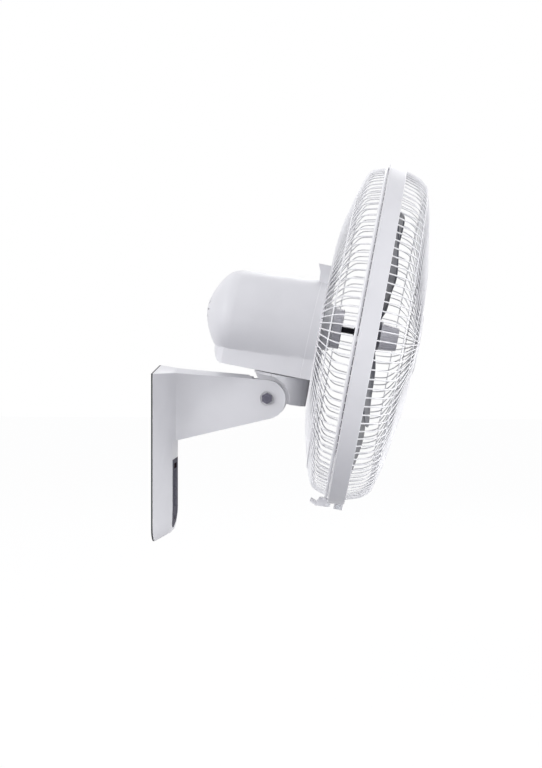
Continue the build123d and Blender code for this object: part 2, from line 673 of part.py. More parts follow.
def make_front_cover():
    """Front end of the motor cover, with the lug on top and the nose that carries the cage."""
    cover = housing_block(0) - housing_block(HOUSING_T)
    cover &= seam_block(front=True)
    cover += (housing_block(0) & box(COVER_FACE_U - 2.6, COVER_FACE_U, -80, 80, -80, 80))
    cover &= box(-90, COVER_FACE_U, -80, 80, -80, 80)
    lug = slab([(-75.2, 52), (-74.3, 58.8), (-74.9, 69.0), (-79.0, 79.6), (-61.2, 79.3), (COVER_FACE_U, 77),
                (COVER_FACE_U, 52)], -20, 20)
    lug -= housing_block(0) & seam_block(front=False)
    lug -= housing_block(HOUSING_T)
    cover += lug
    cover += rod((COVER_FACE_U - 1, 0, 0), (NOSE_END_U, 0, 0), NOSE_R)
    for w in (-PILLAR_W, PILLAR_W):
        cover += rod((-82.9, w, 0), (COVER_FACE_U - 0.5, w, 0), 5.0)
        cover -= rod((-90, w, 0), (-50, w, 0), 1.9)
        cover -= rod((-62.5, w, 0), (-50, w, 0), 3.7)
    cover -= rod((-90, 0, 0), (0, 0, 0), 6.0)
    return one(cover)


def make_cover_screws():
    """Two screws through the floor and two through the front cover."""
    screws = []
    for w in (-16, 16):
        shank = upright(-145, w, -70.9, -64, 1.95)
        screws.append(one(shank + upright(-145, w, -71.8, -70.8, 3.7)))
    for w in (-PILLAR_W, PILLAR_W):
        shank = rod((-84.5, w, 0), (-62.4, w, 0), 1.8)
        screws.append(one(shank + rod((-62.5, w, 0), (-60.6, w, 0), 3.5)))
    return Compound(screws)


def make_swivel_casting():
    """Metal cradle: floor plate, bush for the upright pin and two webs that carry the motor."""
    cradle = box(-152, -74, -31, 31, -69.4, -67.0)
    cradle += upright(SWIVEL_U, 0, -69.4, -66.0, 13.0)
    for side in (-1, 1):
        cradle += box(-135, -92, side * 27, side * 31, -68, -36)
    cradle -= rod((-200, 0, 0), (-50, 0, 0), 49.1)
    cradle -= upright(SWIVEL_U, 0, -75, -60, SWIVEL_PIN_R + 0.05)
    for w in (-16, 16):
        cradle -= upright(-145, w, -75, -60, 2.0)
    return one(cradle)


def make_swing_motor():
    """Small geared motor that turns the crank, hung from the rear shield by an ear."""
    can = upright(CRANK_U, 0, -52.4, -36.0, 16.0)
    can += upright(CRANK_U, 0, -57.5, -52.0, 2.0)
    can += box(-180, -145, -7, 7, -37, -34.5)
    return one(can)


# ---------------------------------------------------------------- motor, in the head's frame
CORE_U = (-130.0, -98.0)
SLOTS = 8


def make_stator_core():
    """Stack of laminations with eight winding slots."""
    core = tube((CORE_U[0], 0, 0), (CORE_U[1], 0, 0), STATOR_R, BORE_R)
    slot = box(CORE_U[0] - 1, CORE_U[1] + 1, -4.5, 4.5, 28, 41)
    for cut in around_x(slot, SLOTS, 22.5):
        core -= cut
    return one(core)


def make_stator_windings():
    """Copper coils: bars in the slots joined by a bundle at each end."""
    bar = box(CORE_U[0] - 2, CORE_U[1] + 2, -4.3, 4.3, 28.4, 40.6)
    coil = tube((CORE_U[0] - 9, 0, 0), (CORE_U[0] - 0.3, 0, 0), 40.6, 28.4)
    coil += tube((CORE_U[1] + 0.3, 0, 0), (CORE_U[1] + 9, 0, 0), 40.6, 28.4)
    for copy in around_x(bar, SLOTS, 22.5):
        coil += copy
    return one(coil)


def end_shield(face_u, bearing_u, toward):
    """Dished shield that holds one bearing and grips the rim of the laminations."""
    rim_u = face_u + toward * 16.0
    plate = tube((face_u, 0, 0), (face_u + toward * 3.0, 0, 0), 49.0, BEARING_R + 0.02)
    rim = tube((face_u, 0, 0), (rim_u, 0, 0), 49.0, STATOR_R + 0.05)
    hub = tube((bearing_u, 0, 0), (bearing_u + BEARING_T, 0, 0), 14.5, BEARING_R + 0.02)
    shield = plate + rim + hub
    return one(shield)


def make_end_shield_front():
    shield = end_shield(-83.0, FRONT_BEARING_U, -1)
    for w in (-PILLAR_W, PILLAR_W):
        shield -= rod((-87, w, 0), (-80, w, 0), 1.9)
    return one(shield)


def make_end_shield_rear():
    return end_shield(-145.0, REAR_BEARING_U, 1)


def make_bearing(start_u):
    """Ball bearing drawn as a ring with its shield grooves."""
    ring = tube((start_u, 0, 0), (start_u + BEARING_T, 0, 0), BEARING_R, SHAFT_R + 0.03)
    for u in (start_u, start_u + BEARING_T):
        ring -= tube((u - 0.4, 0, 0), (u + 0.4, 0, 0), 9.2, 6.2)
    return one(ring)


def make_capacitor():
    """Run capacitor on the back of the rear shield."""
    return one(box(-163, -145, -15, 15, 18, 32) + box(-166, -162.9, -8, 8, 22, 28))


# ---------------------------------------------------------------- cage, in the head's frame
def strip(path, width):
    """Closed outline of a bent strip of one width along a path."""
    def unit(a, b):
        length = math.hypot(b[0] - a[0], b[1] - a[1])
        return (b[0] - a[0]) / length, (b[1] - a[1]) / length
    left, right = [], []
    for i, (u, r) in enumerate(path):
        before = unit(path[max(i - 1, 0)], path[max(i, 1)])
        after = unit(path[min(i, len(path) - 2)], path[min(i + 1, len(path) - 1)])
        mid = unit((0, 0), (before[0] + after[0], before[1] + after[1]))
        reach = width / 2 / (before[0] * mid[0] + before[1] * mid[1])
        left.append((u - mid[1] * reach, r + mid[0] * reach))
        right.append((u + mid[1] * reach, r - mid[0] * reach))
    return left + right[::-1]


def spoke(path):
    """One radial wire of the cage."""
    face = make_face(Plane.XZ * Polyline(*strip(path, WIRE_D), close=True))
    return extrude(face, WIRE_D / 2, both=True)


def hoop(u0, u1, inner, outer):
    """A flat-sided hoop, with one facet under each wire."""
    step = 360 / WIRES
    plane = Plane(origin=(u0, 0, 0), x_dir=(0, 0, 1), z_dir=(1, 0, 0))

    def ring(radius):
        across = radius / math.cos(math.radians(step / 2))
        corners = [math.radians(step * i) for i in range(WIRES)]
        return Polyline(*[(across * math.cos(a), across * math.sin(a)) for a in corners], close=True)
    face = plane * (make_face(ring(outer)) - make_face(ring(inner)))
    return extrude(face, u1 - u0, dir=(1, 0, 0))


def cage_half(path, hoops):
    """All the wires and hoops of one half, welded into one piece."""
    wires = around_x(spoke(path), WIRES, 180 / WIRES)
    rings = [hoop(*h) for h in hoops]
    return one(rings[0].fuse(*rings[1:], *wires))


def make_rear_guard():
    """Back half of the cage, with the dished plate that is clamped on the motor's nose."""
    return cage_half(REAR_PATH, [
        (-8.0, -4.0, *HOOP_R),
        (-15.6, -12.0, 217.6, 221.4),
        (-45.4, -43.8, 186.2, 187.8),
        (-58.6, -57.0, 117.0, 118.6),
        (-60.0, -58.8, DISH_R - 0.6, 66.0),
        (-59.6, DISH_FACE_U - 0.4, DISH_R - 1.2, DISH_R),
        (DISH_FACE_U - 1.2, DISH_FACE_U, NOSE_R + 0.4, DISH_R - 0.6),
    ])


def make_front_guard():
    """Front half of the cage, with its centre plate."""
    return cage_half(FRONT_PATH, [
        (4.0, 8.0, *HOOP_R),
        (65.9, 67.7, 20.0, CENTRE_PLATE_R),
        (56.4, 58.0, 119.0, 120.6),
        (41.4, 43.0, 197.0, 198.6),
    ])


def make_guard_badge():
    """Bare round cap over the middle of the front guard."""
    cap = turned([(67.7, 0), (67.7, 40.0), (68.0, 40.0), (68.5, 38.5), (68.6, 0)])
    return one(cap + turned([(65.0, 0), (65.0, 19.8), (68.0, 19.8), (68.0, 0)]))


def make_guard_nut():
    """Ribbed nut that clamps the rear guard on the nose."""
    nut = turned([(DISH_FACE_U, NOSE_R + 0.05), (DISH_FACE_U, 25.4), (-45.4, 26.4), (-35.0, 26.4),
                  (-34.0, 25.4), (-34.0, 12), (-37.0, 12), (-37.0, NOSE_R + 0.05)])
    for rib in around_x(box(-44.5, -36.0, -1.5, 1.5, 25.7, 28.0), NUT_RIBS):
        nut -= rib
    return one(nut)


def make_guard_ring():
    """Split plastic band over the rims of both halves, with its screw tabs and clip lugs below."""
    band = turned([(-11, BAND_REAR_R - 2.3), (-9.8, BAND_REAR_R - 0.2), (-6.6, BAND_REAR_R),
                   (10.4, BAND_FRONT_R), (11, BAND_FRONT_R - 0.6), (11, BAND_LIP_R), (9.4, BAND_LIP_R),
                   (9.4, BAND_INNER_R), (-9.4, BAND_INNER_R), (-9.4, BAND_LIP_R), (-11, BAND_LIP_R)])
    tab_top = -BAND_INNER_R - 0.6
    for side in (-1, 1):
        band += box(-1.2, 10.3, side * 0.8, side * 6.0, TAB_V, tab_top)
        band += box(-12.0, -6.2, side * 6.2, side * 9.0, CLIP_PIVOT[1] - 2.0, tab_top)
    band -= box(-15, 15, -0.8, 0.8, -240, -210)
    band -= rod((RING_SCREW[0], -20, RING_SCREW[1]), (RING_SCREW[0], 20, RING_SCREW[1]), 1.6)
    band -= rod((CLIP_PIVOT[0], -20, CLIP_PIVOT[1]), (CLIP_PIVOT[0], 20, CLIP_PIVOT[1]), 1.25)
    return one(band)


def make_ring_screw():
    """Screw and nut that pull the ends of the band together."""
    u, v = RING_SCREW
    screw = rod((u, -6.0, v), (u, 8.5, v), 1.55) + rod((u, -8.2, v), (u, -6.0, v), 2.9)
    nut = hexagon((u, 6.0, v), (u, 8.2, v), 5.5) - rod((u, 5, v), (u, 10, v), 1.6)
    return Compound([one(screw), one(nut)])


def make_guard_clip():
    """Latch lever that hooks over the rim of the rear guard."""
    lever = slab([(-6.8, -229.7), (-6.8, -231.6), (-8.6, -233.9), (-25.4, -234.8), (-33.2, -231.2),
                  (-34.0, -229.5), (-32.7, -226.7), (-25.1, -230.0), (-21.9, -223.8), (-12.5, -222.7),
                  (-11.4, -226.2), (-11.4, -228.3), (-9.2, -228.2)], -5.8, 5.8)
    lever -= slab([(-12.6, -229.8), (-13.6, -224.2), (-21.0, -225.0), (-23.6, -230.2)], -4.2, 4.2)
    lever -= rod((CLIP_PIVOT[0], -20, CLIP_PIVOT[1]), (CLIP_PIVOT[0], 20, CLIP_PIVOT[1]), 1.25)
    return one(lever)


def make_clip_pin():
    """Hinge pin of the latch lever."""
    return one(rod((CLIP_PIVOT[0], -9.0, CLIP_PIVOT[1]), (CLIP_PIVOT[0], 9.0, CLIP_PIVOT[1]), 1.2))


# ---------------------------------------------------------------- rotor, in the head's frame
def make_motor_shaft():
    """Black shaft with the shoulder that the blade seats on."""
    shaft = rod((-152, 0, 0), (38, 0, 0), SHAFT_R)
    shaft += rod((-18.2, 0, 0), (-9.8, 0, 0), 5.5)
    shaft -= rod((-6.5, -20, 0), (-6.5, 20, 0), 1.5)
    return one(shaft)


def make_drive_pin():
    """Cross pin that turns the blade."""
    return one(rod((-6.5, -10, 0), (-6.5, 10, 0), 1.45))


def make_rotor_core():
    """Squirrel cage rotor on the shaft."""
    core = tube((CORE_U[0], 0, 0), (CORE_U[1], 0, 0), ROTOR_R, SHAFT_R + 0.02)
    for u in (CORE_U[0] - 4, CORE_U[1]):
        core += tube((u, 0, 0), (u + 4, 0, 0), 22.5, 12.0)
    return one(core)


def blade_section(height, pitch):
    """A thin cambered strip across the blade, wider than the blade itself."""
    b = math.radians(pitch)
    back, front = -122.0, 122.0

    def at(s, n):
        return -s * math.sin(b) + n * math.cos(b), s * math.cos(b) + n * math.sin(b)
    mid = (back + front) / 2
    t = BLADE_T / 2
    return Plane(origin=(BLADE_SHIFT, 0, height)) * make_face([
        ThreePointArc(at(back, t), at(mid, t - CAMBER), at(front, t)),
        Line(at(front, t), at(front, -t)),
        ThreePointArc(at(front, -t), at(mid, -t - CAMBER), at(back, -t)),
        Line(at(back, -t), at(back, t)),
    ])


def blade_plan():
    """The outline of one blade seen along the shaft: narrow root, swept wide tip."""
    plane = Plane(origin=(-90, 0, 0), x_dir=(0, 1, 0), z_dir=(1, 0, 0))
    tip = [(math.sin(math.radians(a)) * BLADE_R, math.cos(math.radians(a)) * BLADE_R) for a in TIP_ANGLES]
    edges = [
        Spline(LEADING + [tip[0]]),
        ThreePointArc(*tip),
        Spline([tip[2]] + TRAILING),
        Line(TRAILING[-1], LEADING[0]),
    ]
    return extrude(plane * make_face(edges), 180, dir=(1, 0, 0))


def make_fan_blade():
    """Five swept blades moulded on one hub."""
    sheet = loft([blade_section(height, pitch) for height, pitch in PITCH])
    blade = one(sheet & blade_plan())
    hub = turned([(-9.5, SHAFT_R + 0.05), (-9.5, HUB_R), (15.5, HUB_R), (17.5, HUB_R - 2),
                  (17.5, SHAFT_R + 0.05)])
    wheel = hub.fuse(*around_x(blade, BLADES, BLADE_PHASE))
    wheel -= turned([(-30, 0), (-30, SHAFT_R + 0.05), (30, SHAFT_R + 0.05), (30, 0)])
    wheel -= box(-12, -4.9, -10.5, 10.5, -1.6, 1.6)
    wheel -= turned([(-12, 0), (-12, 5.8), (-9.6, 5.8), (-9.6, 0)])
    return one(wheel)


def make_spinner():
    """Round nut that holds the blade on the shaft."""
    cap = turned([(17.5, SHAFT_R + 0.05), (17.5, 17.6), (23.5, 17.4), (40.2, 15.3), (40.8, 14.4), (40.8, 0),
                  (38.6, 0), (38.6, SHAFT_R + 0.05)])
    for rib in around_x(box(20, 38, -1.0, 1.0, 15.4, 18.5), 12):
        cap -= rib
    return one(cap)


# ---------------------------------------------------------------- all the pieces
def build_parts():
    """Every piece by name, in the fan's own frame."""
    fixed = {
        "wall_plate": make_wall_plate(),
        "bracket_body": make_bracket_body(),
        "control_panel": make_control_panel(),
        "indicator_window": make_indicator_window(),
        "remote_receiver": make_remote_receiver(),
        "control_board": make_control_board(),
        "tact_switches": make_tact_switches(),
        "cable_grommet": make_cable_grommet(),
        "bracket_screws": make_bracket_screws(),
        "pivot_bolt": make_pivot_bolt(),
        "pivot_nut": make_pivot_nut(),
        "tilt_washers": make_tilt_washers(),
    }
    for i, z in enumerate(BUTTON_Z, 1):
        fixed[f"control_button_{i}"] = make_button(z)
    nosed_down = {
        "neck_block": make_neck_block(),
        "swivel_pin": make_swivel_pin(),
        "swivel_washer": make_swivel_washer(),
        "swivel_nut": make_swivel_nut(),
        "link_anchor": make_link_anchor(),
        "swing_link": make_swing_link(),
        "swing_crank": make_swing_crank(),
        "motor_housing": make_motor_housing(),
        "front_cover": make_front_cover(),
        "cover_screws": make_cover_screws(),
        "swivel_casting": make_swivel_casting(),
        "swing_motor": make_swing_motor(),
        "stator_core": make_stator_core(),
        "stator_windings": make_stator_windings(),
        "end_shield_front": make_end_shield_front(),
        "end_shield_rear": make_end_shield_rear(),
        "bearing_front": make_bearing(FRONT_BEARING_U),
        "bearing_rear": make_bearing(REAR_BEARING_U),
        "capacitor": make_capacitor(),
        "rear_guard": make_rear_guard(),
        "front_guard": make_front_guard(),
        "guard_badge": make_guard_badge(),
        "guard_nut": make_guard_nut(),
        "guard_ring": make_guard_ring(),
        "ring_screw": make_ring_screw(),
        "guard_clip": make_guard_clip(),
        "clip_pin": make_clip_pin(),
        "motor_shaft": make_motor_shaft(),
        "drive_pin": make_drive_pin(),
        "rotor_core": make_rotor_core(),
        "fan_blade": make_fan_blade(),
        "spinner": make_spinner(),
    }
    placed = dict(fixed)
    for name, piece in nosed_down.items():
        placed[name] = HEAD * piece
    return placed


if __name__ == "__main__":
    for name, piece in build_parts().items():
        export_step(piece, f"parts/{name}.step")
        print(name, round(piece.volume / 1000, 2), "cm3")
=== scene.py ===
"""Looks of a wall mounted fan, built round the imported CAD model.

Metres, with the wall at X = 0 and +Z up. Names ending in _MM, and the outlines below, are in mm.
"""
import json
import math

import bmesh
import bpy
from mathutils import Matrix, Vector


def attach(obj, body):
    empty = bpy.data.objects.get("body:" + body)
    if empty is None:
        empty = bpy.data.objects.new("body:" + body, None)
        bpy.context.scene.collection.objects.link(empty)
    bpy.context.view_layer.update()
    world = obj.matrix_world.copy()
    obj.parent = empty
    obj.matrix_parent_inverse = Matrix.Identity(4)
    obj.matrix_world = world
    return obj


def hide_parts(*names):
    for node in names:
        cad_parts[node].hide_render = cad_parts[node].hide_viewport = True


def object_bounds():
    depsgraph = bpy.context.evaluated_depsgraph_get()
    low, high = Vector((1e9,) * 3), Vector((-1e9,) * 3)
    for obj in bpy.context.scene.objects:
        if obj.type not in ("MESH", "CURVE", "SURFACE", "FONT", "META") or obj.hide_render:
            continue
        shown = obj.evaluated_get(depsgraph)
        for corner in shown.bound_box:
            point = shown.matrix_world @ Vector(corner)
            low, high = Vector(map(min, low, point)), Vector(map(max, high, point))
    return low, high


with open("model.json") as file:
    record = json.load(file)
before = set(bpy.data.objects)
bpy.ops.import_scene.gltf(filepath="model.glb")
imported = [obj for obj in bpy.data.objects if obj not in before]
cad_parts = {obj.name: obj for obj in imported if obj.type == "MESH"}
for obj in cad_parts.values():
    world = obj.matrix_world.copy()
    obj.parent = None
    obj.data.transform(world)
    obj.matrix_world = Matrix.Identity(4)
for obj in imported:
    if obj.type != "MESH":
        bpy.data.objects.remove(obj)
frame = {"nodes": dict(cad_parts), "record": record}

cad_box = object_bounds()
scene = bpy.context.scene
nodes = frame["nodes"]

# ---------------------------------------------------------------- places, in mm and degrees
# The cage is drawn about the fan's own axis: (along it, away from it), 0 along at the middle of the band.
MM = 0.001
TILT = 10.6                  # the head is nosed down
CAGE = (276.3, 0.0, 152.4)   # middle of the cage
HEAD = Matrix.Translation(Vector(CAGE) * MM) @ Matrix.Rotation(math.radians(TILT), 4, "Y")
ORIGIN = (0, 0, 0)
FAN_AXIS = (1, 0, 0)

WIRES = 120
WIRE_R = 0.9                 # guard wires are 1.8 mm round
WIRE_BEND = 2.5              # how far from a corner its bend starts
RIM_R = 1.9                  # rim hoops are 3.8 mm round

REAR_PATH = [(-59.1, 60.0), (-59.1, 118.0), (-56.0, 139.0), (-43.8, 187.0), (-36.8, 205.5),
             (-31.5, 212.3), (-6.0, 219.9)]
FRONT_PATH = [(66.8, 30.0), (62.0, 95.0), (49.1, 172.5), (40.5, 203.5), (30.0, 211.8), (6.0, 219.9)]
# Each hoop: along the axis, its radius, and its own thickness as a radius.
REAR_HOOPS = [(-6.0, 221.7, RIM_R), (-13.8, 219.5, RIM_R), (-44.6, 187.0, WIRE_R), (-57.6, 117.8, WIRE_R)]
FRONT_HOOPS = [(6.0, 221.7, RIM_R), (57.2, 119.8, WIRE_R), (42.2, 197.8, WIRE_R)]

SHEET = 1.2                  # the rear guard's middle plate is pressed from sheet this thick
PLATE_BACK = -60.0
PLATE_R = 66.0
DISH_R = 31.2                # its dished middle
DISH_FACE = -46.4
DISH_EASE = 0.5              # bend round the dish
SHAFT_HOLE_R = 15.4
REAR_PLATE = [
    (PLATE_BACK, DISH_R - SHEET), (PLATE_BACK, PLATE_R), (PLATE_BACK + SHEET, PLATE_R),
    (PLATE_BACK + SHEET, DISH_R), (DISH_FACE - DISH_EASE, DISH_R), (DISH_FACE, DISH_R - DISH_EASE),
    (DISH_FACE, SHAFT_HOLE_R), (DISH_FACE - SHEET, SHAFT_HOLE_R), (DISH_FACE - SHEET, DISH_R - SHEET),
]
FRONT_RING = [(65.9, 20.0), (65.9, 42.0), (67.7, 42.0), (67.7, 20.0)]   # carries the bare disc

# ---------------------------------------------------------------- sizes in the materials
PLASTIC_IOR = 1.5
CLOUD_MM = 45                # slow drift of tone over a moulding
HANDLED_MM = 18              # patches that hands have left smoother or duller
GRAIN_DEPTH_MM = 0.05
EASED_MM = 0.5               # how far the light sees a moulding's edges as rounded
PLASTIC_EDGE_MM = 1.0        # how wide the painted highlight along a moulding's edges shows
METAL_EDGE_MM = 0.5
EDGE_TURN = 0.8              # cosine between a flat and its edge where the edge shows in full


# ---------------------------------------------------------------- materials
def linear(hex_colour):
    """A written sRGB colour as the linear values that shaders take."""
    parts = [int(hex_colour[i:i + 2], 16) / 255 for i in (1, 3, 5)]
    return [c / 12.92 if c <= 0.04045 else ((c + 0.055) / 1.055) ** 2.4 for c in parts] + [1.0]


def add(tree, kind, settings=None, **inputs):
    """Adds one node. A tuple (node, output) links an input; anything else is its value.

    An input is named, with _ for a space, or numbered, as i0. The Mix node's colours are its i6 and i7.
    """
    node = tree.nodes.new("ShaderNode" + kind)
    for key, value in (settings or {}).items():
        setattr(node, key, value)
    for key, value in inputs.items():
        numbered = key[0] == "i" and key[1:].isdigit()
        socket = node.inputs[int(key[1:]) if numbered else key.replace("_", " ")]
        if isinstance(value, tuple) and isinstance(value[0], bpy.types.Node):
            tree.links.new(value[0].outputs[value[1]], socket)
        else:
            socket.default_value = value
    return node


def ramp(tree, source, stops):
    """A colour ramp between two stops of (position, hex colour)."""
    node = add(tree, "ValToRGB", i0=source)
    for element, (position, colour) in zip(node.color_ramp.elements, stops, strict=True):
        element.position = position
        element.color = linear(colour)
    return node


def per_metre(size_mm):
    """A pattern's scale on coordinates in metres, from its real size."""
    return 1000 / size_mm


def start(name):
    """A new material with its shader and the piece's own coordinates, in metres."""
    material = bpy.data.materials.new(name)
    material.use_nodes = True
    tree = material.node_tree
    shader = tree.nodes["Principled BSDF"]
    place = add(tree, "TexCoord")
    return material, tree, shader, (place, "Object")


def edge_mask(tree, width_mm):
    """How near a sharp edge the surface is: 0 on the flats, up to 1 on the edge."""
    round_normal = add(tree, "Bevel", {"samples": 4}, Radius=width_mm * MM)
    flat = add(tree, "NewGeometry")
    dot = add(tree, "VectorMath", {"operation": "DOT_PRODUCT"},
              i0=(round_normal, "Normal"), i1=(flat, "Normal"))
    return add(tree, "MapRange", i0=(dot, "Value"), i1=1.0, i2=EDGE_TURN, i3=0.0, i4=1.0)


def colour_by(tree, shader, source, tones, wear_and_highlight, edge_mm):
    """Two close tones that follow a pattern, and a third along the edges: wear on metals, a painted
    highlight on mouldings.
    """
    tone = ramp(tree, source, tones)
    # the edge tone is a painted highlight on mouldings and wear on metals
    edge = edge_mask(tree, edge_mm)
    mixed = add(tree, "Mix", {"data_type": "RGBA"},
                i0=(edge, "Result"), i6=(tone, "Color"), i7=linear(wear_and_highlight))
    tree.links.new(mixed.outputs[2], shader.inputs["Base Color"])


def roughness_by(tree, shader, source, smoothest, dullest):
    """A roughness that follows a pattern between two values."""
    rough = add(tree, "MapRange", i0=source, i1=0.3, i2=0.7, i3=smoothest, i4=dullest)
    tree.links.new(rough.outputs["Result"], shader.inputs["Roughness"])


def moulded(name, colour, shade, wear_and_highlight, roughness, grain_mm=0.35, bump=0.03, sheen=0.5):
    """A moulded plastic: spark-eroded grain, slight cloudiness of tone, edges lightened as a painted
    highlight.
    """
    material, tree, shader, place = start(name)
    cloud = add(tree, "TexNoise", Vector=place, Scale=per_metre(CLOUD_MM), Detail=2.0, Roughness=0.4)
    colour_by(tree, shader, (cloud, "Fac"), [(0.35, colour), (0.7, shade)], wear_and_highlight, PLASTIC_EDGE_MM)
    handled = add(tree, "TexNoise", Vector=place, Scale=per_metre(HANDLED_MM), Detail=4.0, Roughness=0.6)
    roughness_by(tree, shader, (handled, "Fac"), roughness - 0.05, roughness + 0.06)
    grain = add(tree, "TexNoise", Vector=place, Scale=per_metre(grain_mm), Detail=2.0, Roughness=0.5)
    eased = add(tree, "Bevel", {"samples": 6}, Radius=EASED_MM * MM)
    lumps = add(tree, "Bump", Strength=bump, Distance=GRAIN_DEPTH_MM * MM,
                Height=(grain, "Fac"), Normal=(eased, "Normal"))
    tree.links.new(lumps.outputs["Normal"], shader.inputs["Normal"])
    shader.inputs["IOR"].default_value = PLASTIC_IOR
    shader.inputs["Specular IOR Level"].default_value = sheen
    return material


def metal(name, colour, shade, wear_and_highlight, roughness, stretch, scale_mm, bump=0.05):
    """A metal: its marks run along one axis where it was rolled, drawn or turned."""
    material, tree, shader, place = start(name)
    lay = add(tree, "Mapping", Vector=place, Scale=stretch)
    marks = add(tree, "TexNoise", Vector=(lay, "Vector"), Scale=per_metre(scale_mm),
                Detail=4.0, Roughness=0.6)
    colour_by(tree, shader, (marks, "Fac"), [(0.3, colour), (0.72, shade)], wear_and_highlight, METAL_EDGE_MM)
    roughness_by(tree, shader, (marks, "Fac"), roughness - 0.07, roughness + 0.08)
    lumps = add(tree, "Bump", Strength=bump, Distance=GRAIN_DEPTH_MM * MM, Height=(marks, "Fac"))
    tree.links.new(lumps.outputs["Normal"], shader.inputs["Normal"])
    shader.inputs["Metallic"].default_value = 1.0
    return material


# Each finish by the slot that the record gives it.
# In each moulded finish below the third colour is a painted highlight along the edges; in each metal it is
# wear on the edges.
FINISH = {
    # White ABS, spark-eroded mould: satin white with a cool cast, a little brighter along its edges as a
    # painted highlight.
    "abs_white": moulded("white_abs_satin", "#e2e2e5", "#dddde0", "#fafafc", 0.36),
    # Powder coat on steel wire: smooth stoved white, brighter and glossier than the mouldings.
    "guard_white": moulded("white_powder_coat", "#fafafb", "#f4f4f6", "#fcfcfd", 0.3,
                           grain_mm=1.2, bump=0.05),
    # Black ABS back plate: matt black, painted lighter on its corners as a highlight.
    "plate_black": moulded("black_abs_matt", "#1d1d20", "#232326", "#3a3a3e", 0.5),
    # Dark ABS strip: slate grey, satin, with hardly any reflection.
    "panel_dark": moulded("dark_satin_abs", "#4a4955", "#504f5b", "#605f6b", 0.42,
                          bump=0.01, sheen=0.01),
    # ABS keys: a shade lighter than the strip, satin.
    "button_grey": moulded("slate_abs_keys", "#5b5a66", "#55545f", "#72717c", 0.45, sheen=0.02),
    # Smoked polycarbonate: nearly black, smooth, without reflection.
    "window_smoke": moulded("smoked_polycarbonate", "#2a1e22", "#241a1e", "#3c2e32", 0.3,
                            bump=0.0, sheen=0.0),
    # Solder-masked glass laminate: deep green with a fine weave showing through.
    "board_green": moulded("solder_mask_green", "#1f5a35", "#1a4d2d", "#3a7a50", 0.4,
                           grain_mm=0.5, bump=0.1),
    # Black nylon: small dense black parts.
    "switch_black": moulded("black_nylon", "#18181a", "#1f1f22", "#333336", 0.42),
    # Rubber: dead matt black.
    "rubber_black": moulded("black_rubber", "#141416", "#1b1b1d", "#2a2a2c", 0.8,
                            grain_mm=0.6, bump=0.12),
    # Zinc-plated steel: cool grey metal, fine turned marks.
    "zinc_steel": metal("zinc_plated_steel", "#a9abb0", "#93959b", "#c6c8cc", 0.34,
                        stretch=(1.0, 1.0, 6.0), scale_mm=2.5),
    # Die-cast zinc alloy: grainy, dull silver.
    "cast_alloy": metal("diecast_alloy", "#9a9b9c", "#868788", "#b6b7b8", 0.55,
                        stretch=(1.0, 1.0, 1.0), scale_mm=1.6, bump=0.2),
    # Silicon steel stack: fine sheets edge on, so the lines run round the core.
    "lamination": metal("silicon_steel_stack", "#6f7278", "#55585e", "#90939a", 0.45,
                        stretch=(12.0, 1.0, 1.0), scale_mm=3.0, bump=0.2),
    # Enamelled copper: red-brown varnish over bright wire.
    "copper": metal("enamelled_copper", "#a8562c", "#8a4220", "#c87a4c", 0.3,
                    stretch=(8.0, 1.0, 1.0), scale_mm=2.0, bump=0.2),
    # Dark grey AS plastic: the blade, smooth and slightly glossy.
    "blade_dark": moulded("dark_grey_as_plastic", "#55565e", "#4d4e56", "#6c6d75", 0.3, bump=0.015),
    # Light grey ABS: the spinner, far lighter than the blade, painted near white so that its colour stands
    # in for the light that the cage and blades shade off it.
    "spinner_grey": moulded("light_grey_abs_painted_light", "#efeef3", "#e8e7ed", "#f8f8fb", 0.36),
    # Light grey polypropylene: the clamp nut, soft and waxy, painted near white so that its colour stands in
    # for the light that the cage shades off it.
    "nut_grey": moulded("grey_polypropylene_painted_light", "#efeef3", "#e8e7ed", "#f8f8fb", 0.45),
    # Black oxide shaft: dark metal with a dull shine.
    "shaft_black": metal("black_oxide_steel", "#232226", "#1b1a1e", "#4a494f", 0.35,
                         stretch=(8.0, 1.0, 1.0), scale_mm=1.5),
}
# Blackened steel: the dark hexagon and bolt end at the tilt joint, grey on their worn corners.
nut_steel = metal("blackened_steel", "#5e5d68", "#4f4e5a", "#8c8b96", 0.45,
                  stretch=(1.0, 5.0, 1.0), scale_mm=2.0)

# ---------------------------------------------------------------- mesh helpers
CAGE_MERGE_MM = 0.001        # points of the cage this close are one
CAGE_SHARP = 35.0            # its folds past this angle stay sharp, in degrees
BEND_SHARE = 0.3             # a bend takes at most this share of the straight beside it
CAD_MERGE_MM = 0.002         # points this close are one in a copy of a CAD node
CAD_FLAT = 0.6               # facets of the copy within this angle become one
CAD_SHARP = 32.0             # corners of the copy past this angle are rounded, and shaded sharp elsewhere


def dressed(name, mesh, sharp, body, slot_name, node):
    """Hangs a finished mesh on a body, with its finish, in place of the CAD node that it shows."""
    mesh.shade_smooth()
    mesh.set_sharp_from_angle(angle=math.radians(sharp))
    piece = bpy.data.objects.new(name, mesh)
    scene.collection.objects.link(piece)
    piece.data.materials.append(FINISH[slot_name])
    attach(piece, body)
    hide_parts(node)
    return piece


def eased_corners(path, reach):
    """The path with each inner corner cut into two gentler ones."""
    points = [Vector(path[0])]
    for a, b, c in zip(path, path[1:], path[2:]):
        a, b, c = Vector(a), Vector(b), Vector(c)
        points.append(b + (a - b).normalized() * min(reach, (a - b).length * BEND_SHARE))
        points.append(b + (c - b).normalized() * min(reach, (c - b).length * BEND_SHARE))
    return points + [Vector(path[-1])]


def edges_at(verts):
    """The edges at these points, each once, and in the same order each run."""
    return list(dict.fromkeys(e for v in verts for e in v.link_edges))


def order_faces(bm):
    """Stores the faces by their points' numbers, because extruding leaves them in another order each run."""
    bm.verts.index_update()
    count = len(bm.verts)

    def place(face):
        first, second, third = sorted(v.index for v in face.verts)[:3]
        return (first * count + second) * count + third

    bm.faces.sort(key=place)


